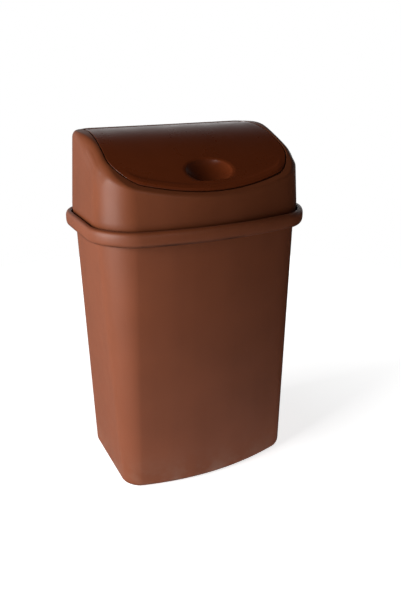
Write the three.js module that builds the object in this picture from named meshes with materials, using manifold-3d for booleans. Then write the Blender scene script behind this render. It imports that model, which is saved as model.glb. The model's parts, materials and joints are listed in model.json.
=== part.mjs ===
// Free-standing dog waste bin with a hinged hood and a swinging flap.
// Millimetres, +Z up, front -Y. The origin is the centre of the box's underside.
import * as THREE from 'three';
import { mergeVertices } from 'three/addons/utils/BufferGeometryUtils.js';
import Module from 'manifold-3d';

const wasm = await Module();
wasm.setup();

// ---- driving dimensions ----
const GAP = 0.3;
const HEIGHT = 700;
const WALL = 3;

// Every plan outline is a rounded rectangle whose front side is bowed forwards.
const TUB_BASE = { w: 188.5, d: 110, r: 31, bow: 31 };
const TUB_TOP = { w: 207, d: 113, r: 55, bow: 37 };
const HOOD_FOOT = { w: 212.5, d: 118.5, r: 60.5, bow: 37 };

const RING_FOOT_Z = 1;
const BASE_FILLET = 15;
const BASE_RECESS_Z = 8;
const RIM_BOTTOM_Z = 522;
const LEDGE_Z = 530;
const RIM_TOP_Z = 549;
const RIM_REACH = 18.5;
const COLLAR_INSET = 6.8;

const HOOD_TAPER = 11;
const HOOD_WALL = 2.8;
const SKIRT_DRAFT = 1.6;
const CREASE_Z = 598;
const RIDGE_Y = 56;
const SLOPE_POWER = 1.9;
const SIDE_FILLET = 20;
const FRONT_FILLET = 4;
const REAR_FILLET = 12;
const TALL_FILLET = 2;

const FLAP_THICK = 3;
const REBATE = 5;
const FLANGE_THICK = 2.8;
const FLANGE_REACH = 10;
const FLAP_REAR_W = 173;
const FLAP_FRONT_W = 180;
const FLAP_SETBACK = 9;
const FLAP_CORNER = 44;
const SEAM = 2.2;
// How far the hood's wall has leaned in where its front meets the top.
const CREASE_INSET = (HOOD_TAPER * (CREASE_Z - RIM_TOP_Z)) / (HEIGHT - RIM_TOP_Z);

const PIVOT = { y: 78, z: 691.5 };
const BARREL_R = 7.5;
const TROUGH_R = 9.3;
const TROUGH_WALL = 2.8;
const TROUGH_X = 174.7;
const BOSS_X = 179;
const PIN_R = 3;
const SCOOP = { y: -105, w: 46, l: 29, depth: 14 };
const BUSH = { bore: PIN_R + GAP, body: 4.3, flange: 5.2, length: 4.6, collar: 1.1 };
const CLIP = { r: 4.3, thick: 0.9, mouth: 0.6 };
const BUFFER = { x: 96, y: -128, stem: 2.1, bore: 2.5, head: 3.9, rise: 1.6, tail: 5.6 };

const LINER_BASE = { w: 174, d: 95, r: 30, bow: 26 };
const LINER_TOP = { w: 189, d: 100, r: 50, bow: 33 };
const LINER_WALL = 2.2;
const LINER_TOP_Z = 503;
const LIP_REACH = 8;

const BALLAST = { w: 300, d: 150, r: 18, thick: 8, z: 17.3 };
const BALLAST_SCREW = { x: 132, y: 58, boss: 8, r: 2.3, pilot: 2.6, hole: 2.9, head: 5, rise: 2.9, tip: 4.6 };
const PAD = { x: 138, y: 60, r: 18 };

const BAIL = { z: 494, wire: 2.5, reach: 78, bend: 62, clear: 2.5, end: 9, head: 1.6 };
const PEG = { y0: 24, y1: 33, depth: 7 };
const GRIP = { r: 7.5, half: 52 };

const HINGE = { x: 112, y: 139.5, z: 538, pin: 2.5, knuckle: 5.5, leaf: 2, half: 22, tab: 9.5 };
const RIVET = { r: 2.1, hole: 2.4, head: 4.6, rise: 1.7, tail: 3.6, upset: 1.2, pitch: 13 };
const TUB_RIVET_Z = 488;
const HOOD_RIVET_Z = 584;

// ---- colours ----
const BROWN = new THREE.Color(0.15, 0.04, 0.0145);
const FLAP_BROWN = new THREE.Color(0.125, 0.031, 0.0105);
const STEEL = new THREE.Color(0.62, 0.62, 0.6);
const RUBBER = new THREE.Color(0.02, 0.02, 0.021);
const LINER_GREY = new THREE.Color(0.045, 0.048, 0.05);
const NYLON = new THREE.Color(0.75, 0.74, 0.68);

const plastic = color => new THREE.MeshStandardMaterial({ color, roughness: 0.42, metalness: 0 });
const steel = () => new THREE.MeshStandardMaterial({ color: STEEL, roughness: 0.35, metalness: 1 });
const rubber = () => new THREE.MeshStandardMaterial({ color: RUBBER, roughness: 0.8, metalness: 0 });

// ---- general helpers ----
const { lerp, clamp, smoothstep, degToRad } = THREE.MathUtils;
const CORNER_STEPS = 6;
const BOW_STEPS = 8;

function mixed(a, b, t) {
  return { w: lerp(a.w, b.w, t), d: lerp(a.d, b.d, t), r: lerp(a.r, b.r, t), bow: lerp(a.bow, b.bow, t) };
}

function grown(plan, by) {
  return { w: plan.w + by, d: plan.d + by, r: Math.max(plan.r + by, 4), bow: plan.bow };
}

// The plan outline as points anticlockwise from above, always the same count.
function outline(plan) {
  const { w, d, r, bow } = plan;
  const points = [];
  const corner = (cx, cy, from) => {
    for (let k = 0; k <= CORNER_STEPS; k++) {
      const a = degToRad(from + (90 * k) / CORNER_STEPS);
      points.push(new THREE.Vector2(cx + r * Math.cos(a), cy + r * Math.sin(a)));
    }
  };
  corner(w - r, d - r, 0);
  corner(r - w, d - r, 90);
  corner(r - w, r - d, 180);
  for (let k = 1; k < BOW_STEPS; k++) points.push(new THREE.Vector2(lerp(r - w, w - r, k / BOW_STEPS), -d));
  corner(w - r, r - d, 270);
  for (const p of points) {
    const near = clamp((-p.y - (d - r)) / r, 0, 1);
    p.y -= bow * (1 - (p.x / w) ** 2) * near;
  }
  return points;
}

// Skins a row of equal rings and closes both ends with a fan.
function loft(rings) {
  const n = rings[0].length;
  const last = rings.length - 1;
  const positions = rings.flat().flatMap(p => [p.x, p.y, p.z]);
  const middle = ring => ring.reduce((s, p) => s.add(p), new THREE.Vector3()).divideScalar(n);
  for (const end of [rings[0], rings[last]]) positions.push(...middle(end).toArray());
  const index = [];
  for (let i = 0; i < n; i++) {
    const j = (i + 1) % n;
    for (let k = 0; k < last; k++) {
      const a = k * n;
      const b = a + n;
      index.push(a + i, a + j, b + j, a + i, b + j, b + i);
    }
    index.push((last + 1) * n, j, i);
    index.push((last + 1) * n + 1, last * n + i, last * n + j);
  }
  const geometry = new THREE.BufferGeometry();
  geometry.setAttribute('position', new THREE.Float32BufferAttribute(positions, 3));
  geometry.setIndex(index);
  return geometry;
}

const level = (plan, z) => outline(plan).map(p => new THREE.Vector3(p.x, p.y, z));

function solid(geometry) {
  const bare = geometry.clone();
  bare.deleteAttribute('normal');
  bare.deleteAttribute('uv');
  const g = mergeVertices(bare, 1e-4);
  return new wasm.Manifold(new wasm.Mesh({
    numProp: 3,
    vertProperties: new Float32Array(g.attributes.position.array),
    triVerts: new Uint32Array(g.index.array),
  }));
}

function shape(body) {
  const { vertProperties, triVerts, numProp } = body.getMesh();
  const geometry = new THREE.BufferGeometry();
  const positions = new Float32Array((vertProperties.length / numProp) * 3);
  for (let i = 0; i < positions.length; i++) {
    positions[i] = vertProperties[Math.floor(i / 3) * numProp + (i % 3)];
  }
  geometry.setAttribute('position', new THREE.BufferAttribute(positions, 3));
  geometry.setIndex(new THREE.BufferAttribute(new Uint32Array(triVerts), 1));
  geometry.computeVertexNormals();
  return geometry;
}

const joined = parts => parts.reduce((a, b) => a.add(b));
const cut = (body, tools) => tools.reduce((a, b) => a.subtract(b), body);

function prism(points, z0, z1) {
  const options = { depth: z1 - z0, bevelEnabled: false };
  return new THREE.ExtrudeGeometry(new THREE.Shape(points), options).translate(0, 0, z0);
}

// Extrudes a closed outline given in (y, z) from x0 to x1.
function alongX(points, x0, x1) {
  const options = { depth: x1 - x0, bevelEnabled: false };
  const geometry = new THREE.ExtrudeGeometry(new THREE.Shape(points), options);
  const turn = new THREE.Matrix4().makeBasis(
    new THREE.Vector3(0, 1, 0), new THREE.Vector3(0, 0, 1), new THREE.Vector3(1, 0, 0));
  return geometry.applyMatrix4(turn).translate(x0, 0, 0);
}

function rodX(r, x0, x1, y, z, sides = 20) {
  const geometry = new THREE.CylinderGeometry(r, r, x1 - x0, sides);
  return geometry.rotateZ(Math.PI / 2).translate((x0 + x1) / 2, y, z);
}

function rodZ(r, z0, z1, x, y, sides = 16) {
  const geometry = new THREE.CylinderGeometry(r, r, z1 - z0, sides);
  return geometry.rotateX(Math.PI / 2).translate(x, y, (z0 + z1) / 2);
}

function box(x0, x1, y0, y1, z0, z1) {
  const geometry = new THREE.BoxGeometry(x1 - x0, y1 - y0, z1 - z0);
  return geometry.translate((x0 + x1) / 2, (y0 + y1) / 2, (z0 + z1) / 2);
}

// A turned piece: profile pairs (radius, height) about +Z.
function turned(pairs, sides = 16) {
  const profile = pairs.map(([r, z]) => new THREE.Vector2(r, z));
  return new THREE.LatheGeometry(profile, sides).rotateX(Math.PI / 2);
}

const bin = new THREE.Group();

function add(name, geometry, material, place = [0, 0, 0], turn = [0, 0, 0]) {
  const mesh = new THREE.Mesh(geometry, material);
  mesh.name = name;
  mesh.position.set(...place);
  mesh.rotation.set(...turn);
  bin.add(mesh);
}

// ---- tub ----
const tubPlan = z => mixed(TUB_BASE, TUB_TOP, clamp(z / RIM_BOTTOM_Z, 0, 1));
const tubRing = (offset, z) => level(grown(tubPlan(z), offset), z);
const rearWallY = (plan, z) => plan(z).d;
const hoodPlan = z => grown(HOOD_FOOT, (-HOOD_TAPER * (z - RIM_TOP_Z)) / (HEIGHT - RIM_TOP_Z));

function tubShell() {
  const arc = [0, 22.5, 45, 67.5, 90].map(degToRad);
  const filleted = (inset, z) => arc.map(a => {
    const back = BASE_FILLET * (1 - Math.sin(a));
    return tubRing(-inset - back, z + BASE_FILLET * (1 - Math.cos(a)));
  });
  const foot = filleted(0, RING_FOOT_Z);
  const insideFoot = filleted(WALL, BASE_RECESS_Z + WALL);
  const mid = (RIM_BOTTOM_Z + RIM_TOP_Z) / 2;
  const under = COLLAR_INSET + WALL;
  const inside = RIM_REACH - WALL;
  const channel = [
    tubRing(0, RIM_BOTTOM_Z - 2), tubRing(1.5, LEDGE_Z - WALL - 1), tubRing(under, LEDGE_Z - WALL),
    tubRing(under, RIM_TOP_Z - 7), tubRing(under + 2.5, RIM_TOP_Z - 4), tubRing(inside, RIM_TOP_Z - 8),
    tubRing(inside + 0.4, mid), tubRing(inside - 3, RIM_BOTTOM_Z + 0.6), tubRing(inside - 1.6, RIM_BOTTOM_Z),
  ];
  const bead = [
    tubRing(RIM_REACH - 1.4, RIM_BOTTOM_Z + 4), tubRing(RIM_REACH, mid - 1),
    tubRing(RIM_REACH - 0.5, RIM_TOP_Z - 8), tubRing(RIM_REACH - 2.8, RIM_TOP_Z - 3),
    tubRing(RIM_REACH - 6.5, RIM_TOP_Z), tubRing(COLLAR_INSET + 2, RIM_TOP_Z - 0.4),
  ];
  const collar = [
    tubRing(COLLAR_INSET, RIM_TOP_Z - 3), tubRing(COLLAR_INSET, LEDGE_Z),
    tubRing(-WALL + 2, LEDGE_Z), tubRing(-WALL, LEDGE_Z - 2.5),
  ];
  const recess = [tubRing(-BASE_FILLET - 14, BASE_RECESS_Z), tubRing(-BASE_FILLET - 10, RING_FOOT_Z)];
  const rim = [...channel, ...bead, ...collar];
  const shell = solid(loft([...recess, ...foot, ...rim, ...insideFoot.reverse()]));
  const { boss, pilot } = BALLAST_SCREW;
  const floorZ = BASE_RECESS_Z + WALL;
  const bosses = eachCorner(BALLAST_SCREW, (x, y) => solid(rodZ(boss, floorZ - 2, BALLAST.z - GAP, x, y)));
  const pilots = eachCorner(BALLAST_SCREW, (x, y) => solid(rodZ(pilot, floorZ, BALLAST.z, x, y, 12)));
  const rivets = eachRivet(x => solid(rodY(RIVET.hole, TUB_TOP.d, x, TUB_RIVET_Z)));
  return shape(cut(joined([shell, ...bosses]), [...pilots, ...rivets]));
}

function eachCorner(at, make) {
  return [-1, 1].flatMap(sx => [-1, 1].map(sy => make(sx * at.x, sy * at.y)));
}

function eachRivet(make) {
  return [-1, 1].flatMap(side => [-1, 1].map(k => make(side * HINGE.x + k * RIVET.pitch)));
}

// A rod along Y, long enough to pass through any one wall near y.
function rodY(r, y, x, z) {
  return new THREE.CylinderGeometry(r, r, 30, 12).translate(x, y, z);
}

// ---- hood ----
const FRONT_Y = -(HOOD_FOOT.d + HOOD_FOOT.bow);

function topZ(y) {
  const t = clamp((RIDGE_Y - y) / (RIDGE_Y - FRONT_Y), 0, 1.2);
  return HEIGHT - (HEIGHT - CREASE_Z) * t ** SLOPE_POWER;
}

function slopeAt(y) {
  return topZ(y + 0.5) - topZ(y - 0.5);
}

// A ring of the hood's wall that ends where the wall would meet the top, and its outward directions.
function eave(inset) {
  const count = outline(HOOD_FOOT).length;
  const points = [];
  for (let i = 0; i < count; i++) {
    let z = HEIGHT;
    for (let k = 0; k < 4; k++) z = topZ(outline(grown(hoodPlan(z), -inset))[i].y);
    const p = outline(grown(hoodPlan(z), -inset))[i];
    points.push(new THREE.Vector3(p.x, p.y, z));
  }
  return points.map((p, i) => {
    const a = points[(i + count - 1) % count];
    const b = points[(i + 1) % count];
    const out = new THREE.Vector2(b.y - a.y, a.x - b.x).normalize();
    return { p, out, index: i };
  });
}

// The hood as a full solid, drawn in by inset all over; its underside is flat at footZ.
function hoodSolid(inset, footZ) {
  const edge = eave(inset);
  const drop = y => inset * Math.hypot(1, slopeAt(y));
  // The edge is sharpest in front, and down the sides its rounding grows as the top falls.
  const radius = e => {
    const side = lerp(REAR_FILLET, SIDE_FILLET, smoothstep(-e.p.y, -60, 30));
    const ahead = lerp(side, FRONT_FILLET, smoothstep(-e.out.y, 0.3, 0.95));
    return lerp(ahead, REAR_FILLET, smoothstep(e.out.y, 0.3, 0.95)) - 0.6 * inset;
  };
  const tall = e => radius(e) * lerp(1, TALL_FILLET, smoothstep(radius(e), REAR_FILLET, SIDE_FILLET));
  const wallAt = (e, t) => {
    const top = e.p.z - drop(e.p.y) - tall(e);
    const z = lerp(RIM_TOP_Z, top, t);
    const q = outline(grown(hoodPlan(z), -inset))[e.index];
    return new THREE.Vector3(q.x, q.y, z);
  };
  const rounded = (e, a) => {
    const r = radius(e);
    const base = wallAt(e, 1);
    const x = base.x - e.out.x * r * (1 - Math.cos(a));
    const y = base.y - e.out.y * r * (1 - Math.cos(a));
    const edgeZ = Math.min(topZ(y), topZ(base.y) + tall(e)) - drop(y);
    const z = lerp(base.z, edgeZ, Math.sin(a));
    return new THREE.Vector3(x, y, z);
  };
  const shrunk = t => edge.map(e => {
    const q = rounded(e, Math.PI / 2);
    const y = lerp(q.y, RIDGE_Y - 60, t);
    return new THREE.Vector3(q.x * (1 - t), y, topZ(y) - drop(y));
  });
  const rings = [
    level(grown(HOOD_FOOT, -inset - SKIRT_DRAFT), footZ),
    ...[0, 0.5, 1].map(t => edge.map(e => wallAt(e, t))),
    ...[18, 36, 54, 72, 90].map(a => edge.map(e => rounded(e, degToRad(a)))),
    ...[0.25, 0.5, 0.8].map(shrunk),
  ];
  return solid(loft(rings));
}

// Points of the hood's top line from back to front, moved inwards by depth.
function topLine(depth) {
  const points = [];
  for (let y = 112; y >= -172; y -= y > 40 ? 24 : 12) {
    const s = slopeAt(y);
    const k = depth / Math.hypot(1, s);
    points.push(new THREE.Vector2(y + s * k, topZ(y) - k));
  }
  return points;
}

function slab(upper, lower, half) {
  return solid(alongX([...topLine(upper), ...topLine(lower).reverse()].reverse(), -half, half));
}

function aboveTop(depth, half) {
  const line = topLine(depth);
  const high = HEIGHT + 30;
  const lid = [new THREE.Vector2(line[line.length - 1].x, high), new THREE.Vector2(line[0].x, high)];
  return solid(alongX([...line, ...lid].reverse(), -half, half));
}

// The flap's outline from above, grown by the given amount; its rear side is straight at rearY.
function flapOutline(by, rearY) {
  const w = FLAP_FRONT_W + by;
  const bow = HOOD_FOOT.bow - 2;
  const front = FRONT_Y + CREASE_INSET + FLAP_SETBACK + bow - by;
  const r = FLAP_CORNER + by;
  const points = outline({ w, d: -front, r, bow }).filter(p => p.y < front + r + 1);
  points.push(new THREE.Vector2(FLAP_REAR_W + by, rearY), new THREE.Vector2(-FLAP_REAR_W - by, rearY));
  return points;
}

function hoodShell() {
  const outer = hoodSolid(0, LEDGE_Z + GAP);
  const inner = hoodSolid(HOOD_WALL, LEDGE_Z - 10);
  const axle = (r, half, sides) => solid(rodX(r, -half, half, PIVOT.y, PIVOT.z, sides));
  const frameOutline = flapOutline(SEAM + HOOD_WALL, PIVOT.y + TROUGH_R);
  const frame = solid(prism(frameOutline, CREASE_Z - 60, HEIGHT + 20))
    .intersect(slab(0, REBATE + FLANGE_THICK, BOSS_X + 8)).intersect(outer);
  const trough = axle(TROUGH_R + TROUGH_WALL, BOSS_X, 28).intersect(outer);
  const rebate = solid(prism(flapOutline(SEAM, PIVOT.y), CREASE_Z - 60, HEIGHT + 20))
    .intersect(aboveTop(REBATE, BOSS_X + 20));
  const mouthRear = PIVOT.y - TROUGH_R - TROUGH_WALL - 3;
  const mouth = solid(prism(flapOutline(-FLANGE_REACH, mouthRear), CREASE_Z - 60, HEIGHT + 20));
  const slot = solid(box(-TROUGH_X, TROUGH_X, PIVOT.y - 1, PIVOT.y + TROUGH_R, PIVOT.z, HEIGHT + 5));
  const rivets = eachRivet(x => solid(rodY(RIVET.hole, HOOD_FOOT.d, x, HOOD_RIVET_Z)));
  const buffers = BUFFERS.map(b => solid(bufferBore(b)));
  const bores = axle(BUSH.body + GAP, BOSS_X + 1, 16);
  const groove = axle(TROUGH_R, TROUGH_X, 28);
  const shell = joined([outer.subtract(inner), frame, trough]);
  return shape(cut(shell, [rebate, mouth, groove, slot, bores, ...rivets, ...buffers]));
}

// Rubber buffers stand on the front flange, square to the slope.
const BUFFERS = [-1, 1].map(side => ({ x: side * BUFFER.x, y: BUFFER.y }));

function bufferPlace({ x, y }) {
  const tilt = Math.atan(slopeAt(y));
  return { place: [x, y + REBATE * Math.sin(tilt), topZ(y) - REBATE * Math.cos(tilt)], turn: [tilt, 0, 0] };
}

function bufferBore(at) {
  const { place, turn } = bufferPlace(at);
  const bore = new THREE.CylinderGeometry(BUFFER.bore, BUFFER.bore, 16, 12).rotateX(Math.PI / 2);
  return bore.rotateX(turn[0]).translate(...place);
}

// A mushroom head on the flange, a stem through it and a barb underneath.
function buffer() {
  const { stem, head, rise, tail } = BUFFER;
  const barb = -FLANGE_THICK - 0.5;
  return turned([[0, -tail], [stem - 0.5, -tail], [stem + 1.3, barb], [stem, barb + 0.1], [stem, GAP],
    [head, GAP], [head, rise - 0.5], [head - 0.9, rise], [0, rise]], 12);
}

// ---- flap ----
function scoopBody(extra) {
  const tilt = Math.atan(slopeAt(SCOOP.y));
  const ball = new THREE.SphereGeometry(1, 24, 12);
  ball.scale(SCOOP.w + extra, SCOOP.l + extra, SCOOP.depth + extra);
  return solid(ball.rotateX(tilt).translate(0, SCOOP.y, topZ(SCOOP.y)));
}

function flapPanel() {
  const skin = solid(prism(flapOutline(0, PIVOT.y), CREASE_Z - 60, HEIGHT + 20));
  const panel = skin.intersect(slab(0, FLAP_THICK, BOSS_X + 20));
  const barrel = solid(rodX(BARREL_R, -FLAP_REAR_W, FLAP_REAR_W, PIVOT.y, PIVOT.z, 28));
  const pocket = scoopBody(FLAP_THICK - 0.4).subtract(aboveTop(0.5, BOSS_X + 20));
  const bore = solid(rodX(PIN_R + 0.4, -FLAP_REAR_W - 1, FLAP_REAR_W + 1, PIVOT.y, PIVOT.z, 16));
  return shape(cut(joined([panel, pocket, barrel]), [bore, scoopBody(0)]));
}

function clip() {
  const arc = new THREE.Shape();
  const { r, thick, mouth } = CLIP;
  arc.absarc(0, 0, r, mouth, 2 * Math.PI - mouth, false);
  arc.absarc(0, 0, PIN_R + GAP, 2 * Math.PI - mouth, mouth, true);
  return new THREE.ExtrudeGeometry(arc, { depth: thick, bevelEnabled: false, curveSegments: 8 });
}

function bush() {
  const { bore, body, flange, length } = BUSH;
  const end = length + BUSH.collar;
  return turned([[bore, 0], [body, 0], [body, length], [flange, length], [flange, end], [bore, end],
    [bore, 0]], 16);
}

// ---- liner bucket and its bail ----
const LINER_FLOOR_Z = BALLAST.z + BALLAST.thick + GAP;

function linerShell() {
  const depth = LINER_TOP_Z - LINER_FLOOR_Z;
  const plan = z => mixed(LINER_BASE, LINER_TOP, clamp((z - LINER_FLOOR_Z) / depth, 0, 1));
  const ring = (offset, z) => level(grown(plan(z), offset), z);
  const z0 = LINER_FLOOR_Z;
  const shell = solid(loft([
    ring(-16, z0 + 6), ring(-12, z0), ring(-6, z0), ring(-2, z0 + 2), ring(0, z0 + 7),
    ring(0, LINER_TOP_Z - 4), ring(LIP_REACH - 1.5, LINER_TOP_Z - 3), ring(LIP_REACH - 1.5, LINER_TOP_Z - 9),
    ring(LIP_REACH, LINER_TOP_Z - 9), ring(LIP_REACH, LINER_TOP_Z - 1.5), ring(LIP_REACH - 1.5, LINER_TOP_Z),
    ring(0, LINER_TOP_Z), ring(-LINER_WALL, LINER_TOP_Z - 2), ring(-LINER_WALL, z0 + 12),
    ring(-LINER_WALL - 4, z0 + 9), ring(-16, z0 + 8.4),
  ]));
  const wallX = plan(BAIL.z).w;
  const holes = [-1, 1].map(s => solid(rodX(BAIL.wire + 0.5, s * wallX - 8, s * wallX + 8, 0, BAIL.z, 12)));
  const pegTop = BAIL.z - BAIL.wire - GAP;
  const pegs = [-1, 1].map(s => {
    const [x0, x1] = sorted(s * (BAIL_ARM_X - 3), s * (wallX - 1));
    return solid(box(x0, x1, PEG.y0, PEG.y1, pegTop - PEG.depth, pegTop));
  });
  return shape(cut(joined([shell, ...pegs]), holes));
}

const BAIL_ARM_X = LINER_TOP.w - LINER_WALL - BAIL.wire - BAIL.clear;

const sorted = (a, b) => [Math.min(a, b), Math.max(a, b)];

// The bail lies back, level, with both arms on the pegs; its turned-out ends have peened heads.
function bailWire() {
  const x = BAIL_ARM_X;
  const { wire, bend, reach, z, end, head } = BAIL;
  const path = new THREE.CurvePath();
  const v = (px, py) => new THREE.Vector3(px, py, z);
  const quarter = 0.4477 * bend;
  const bent = (...points) => path.add(new THREE.CubicBezierCurve3(...points.map(p => v(...p))));
  path.add(new THREE.LineCurve3(v(-x, 0), v(-x, reach - bend)));
  bent([-x, reach - bend], [-x, reach - quarter], [quarter - x, reach], [bend - x, reach]);
  path.add(new THREE.LineCurve3(v(bend - x, reach), v(x - bend, reach)));
  bent([x - bend, reach], [x - quarter, reach], [x, reach - quarter], [x, reach - bend]);
  path.add(new THREE.LineCurve3(v(x, reach - bend), v(x, 0)));
  const section = new THREE.Shape().absarc(0, 0, wire, 0, 2 * Math.PI, false);
  const tube = new THREE.ExtrudeGeometry(section, {
    steps: 32, curveSegments: 4, extrudePath: path, bevelEnabled: false,
  });
  const stub = (s, r, from, to) => solid(rodX(r, ...sorted(s * (x + from), s * (x + to)), 0, z, 12));
  const ends = [-1, 1].map(s => stub(s, wire, -1, end - 0.5));
  const heads = [-1, 1].map(s => stub(s, wire + head, end - 1.8, end));
  return shape(joined([solid(tube), ...ends, ...heads]));
}

function bailGrip() {
  const bore = BAIL.wire + GAP;
  const { r, half } = GRIP;
  return turned([[bore, -half], [r - 1, -half], [r, 1.5 - half], [r, half - 1.5], [r - 1, half], [bore, half],
    [bore, -half]], 16);
}

// ---- ballast and feet ----
function ballastPlate() {
  const { w, d, r, z, thick } = BALLAST;
  const plate = solid(prism(outline({ w: w / 2, d: d / 2, r, bow: 0 }), z, z + thick));
  const hole = (x, y) => solid(rodZ(BALLAST_SCREW.hole, z - 1, z + thick + 1, x, y, 12));
  return shape(cut(plate, eachCorner(BALLAST_SCREW, hole)));
}

// A pan-head screw whose origin is on the plate's underside.
function ballastScrew() {
  const { r, head, rise, tip } = BALLAST_SCREW;
  const seat = BALLAST.thick + GAP;
  const top = BALLAST.thick + rise;
  return turned([[0, -tip], [1, -tip], [r, -3], [r, seat], [head, seat], [head - 0.6, top - 0.5], [r, top],
    [0, top]], 12);
}

function footPad() {
  const top = BASE_RECESS_Z - GAP;
  return turned([[0, 0], [PAD.r - 1, 0], [PAD.r, 1], [PAD.r - 1, top], [0, top]], 20);
}

// ---- hinges ----
const strip = (line, thick) => {
  const back = line.map((p, i) => {
    const a = line[Math.max(i - 1, 0)];
    const b = line[Math.min(i + 1, line.length - 1)];
    const along = new THREE.Vector2(b[0] - a[0], b[1] - a[1]).normalize();
    return new THREE.Vector2(p[0] + along.y * thick, p[1] - along.x * thick);
  });
  return [...line.map(p => new THREE.Vector2(...p)), ...back.reverse()].reverse();
};

const knuckleSide = HINGE.y - HINGE.knuckle;

function tubLeaf() {
  const wall = z => rearWallY(tubPlan, z) + GAP;
  const pad = [[wall(470), 470], [wall(504), 504], [knuckleSide, RIM_BOTTOM_Z - 6]];
  const tab = [...pad.slice(1), [knuckleSide, HINGE.z]];
  return leaf(pad, tab, [[-HINGE.tab, HINGE.tab]], TUB_RIVET_Z);
}

function hoodLeaf() {
  const wall = z => rearWallY(hoodPlan, z) + GAP;
  const crank = [knuckleSide, RIM_TOP_Z + 7];
  const pad = [crank, [wall(566), 566], [wall(602), 602]];
  const tab = [[knuckleSide, HINGE.z], crank, [wall(566), 566]];
  const inner = HINGE.tab + GAP;
  return leaf(pad, tab, [[-HINGE.half, -inner], [inner, HINGE.half]], HOOD_RIVET_Z);
}

function leaf(pad, tab, spans, rivetZ) {
  const plate = solid(alongX(strip(pad, HINGE.leaf), -HINGE.half, HINGE.half));
  const tabs = spans.flatMap(([x0, x1]) => [
    solid(alongX(strip(tab, HINGE.leaf), x0, x1)),
    solid(rodX(HINGE.knuckle, x0, x1, HINGE.y, HINGE.z, 18)),
  ]);
  const bore = solid(rodX(HINGE.pin + GAP, -HINGE.half - 1, HINGE.half + 1, HINGE.y, HINGE.z, 14));
  const holes = [-1, 1].map(s => solid(rodY(RIVET.hole, HOOD_FOOT.d, s * RIVET.pitch, rivetZ)));
  return shape(cut(joined([plate, ...tabs]), [bore, ...holes]));
}

// The pin's two heads stand clear of the knuckles.
function hingePin() {
  const seat = HINGE.half + 1.2;
  const end = seat + 1.2;
  const r = HINGE.pin;
  const pin = turned([[0, -end], [r + 1, -end], [r + 1.4, -seat], [r, -seat], [r, seat], [r + 1.4, seat],
    [r + 1, end], [0, end]], 14);
  return pin.rotateY(Math.PI / 2);
}

// A dome rivet whose origin is on the outer face of the wall; its head points along +Z.
function rivet(wall) {
  const top = HINGE.leaf + 2 * GAP;
  const back = -wall - GAP;
  const { r, head, rise, tail, upset } = RIVET;
  return turned([[0, back - upset], [tail - 0.2, back - upset], [tail, back], [r, back], [r, top],
    [head, top], [head * 0.86, top + rise * 0.6], [head * 0.5, top + rise * 0.93], [0, top + rise]], 12);
}

// ---- assembly ----
add('tub_shell', tubShell(), plastic(BROWN));
add('liner_bucket', linerShell(), plastic(LINER_GREY));
add('ballast_plate', ballastPlate(), steel());
eachCorner(BALLAST_SCREW, (x, y) => [x, y]).forEach(([x, y], i) => {
  add(`ballast_screw_${i + 1}`, ballastScrew(), steel(), [x, y, BALLAST.z]);
});
eachCorner(PAD, (x, y) => [x, y]).forEach(([x, y], i) => {
  add(`foot_pad_${i + 1}`, footPad(), rubber(), [x, y, 0]);
});
add('bail_wire', bailWire(), steel());
add('bail_grip', bailGrip(), plastic(RUBBER), [0, BAIL.reach, BAIL.z], [0, Math.PI / 2, 0]);

add('hood_shell', hoodShell(), plastic(BROWN));
add('flap', flapPanel(), plastic(FLAP_BROWN));
add('flap_pin', rodX(PIN_R, -BOSS_X - 2.2, BOSS_X + 2.2, 0, 0, 16), steel(), [0, PIVOT.y, PIVOT.z]);
for (const [side, s] of [['left', -1], ['right', 1]]) {
  const face = s * Math.PI / 2;
  add(`flap_bush_${side}`, bush(), plastic(NYLON), [s * BOSS_X, PIVOT.y, PIVOT.z], [0, -face, 0]);
  add(`flap_pin_clip_${side}`, clip(), steel(), [s * (BOSS_X + GAP), PIVOT.y, PIVOT.z], [0, face, 0]);
}
BUFFERS.forEach((at, i) => {
  const { place, turn } = bufferPlace(at);
  add(`flap_buffer_${['left', 'right'][i]}`, buffer(), rubber(), place, turn);
});

for (const [side, s] of [['left', -1], ['right', 1]]) {
  add(`hinge_tub_leaf_${side}`, tubLeaf(), steel(), [s * HINGE.x, 0, 0]);
  add(`hinge_hood_leaf_${side}`, hoodLeaf(), steel(), [s * HINGE.x, 0, 0]);
  add(`hinge_pin_${side}`, hingePin(), steel(), [s * HINGE.x, HINGE.y, HINGE.z]);
}
const faceBack = -Math.PI / 2;
eachRivet(x => x).forEach((x, i) => {
  const hoodTilt = Math.atan(HOOD_TAPER / (HEIGHT - RIM_TOP_Z));
  const tubPlace = [x, rearWallY(tubPlan, TUB_RIVET_Z), TUB_RIVET_Z];
  const hoodPlace = [x, rearWallY(hoodPlan, HOOD_RIVET_Z), HOOD_RIVET_Z];
  add(`tub_rivet_${i + 1}`, rivet(WALL), steel(), tubPlace, [faceBack, 0, 0]);
  add(`hood_rivet_${i + 1}`, rivet(HOOD_WALL), steel(), hoodPlace, [faceBack + hoodTilt, 0, 0]);
});

// The group moves so that the middle of the box, rim to hinge, is at y = 0.
const rimFront = -(TUB_TOP.d + TUB_TOP.bow + RIM_REACH);
const hingeBack = HINGE.y + HINGE.knuckle;
bin.position.y = -(rimFront + hingeBack) / 2;

export default bin;
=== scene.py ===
"""Dog waste bin: fine shells, hardware, materials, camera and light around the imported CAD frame.

Lengths are in millimetres in the bin's own axes (y = 0 on the tub's centre line) until a mesh is made.
"""
import json
import math

import bmesh
import bpy
import numpy as np
from mathutils import Matrix, Vector


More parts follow.
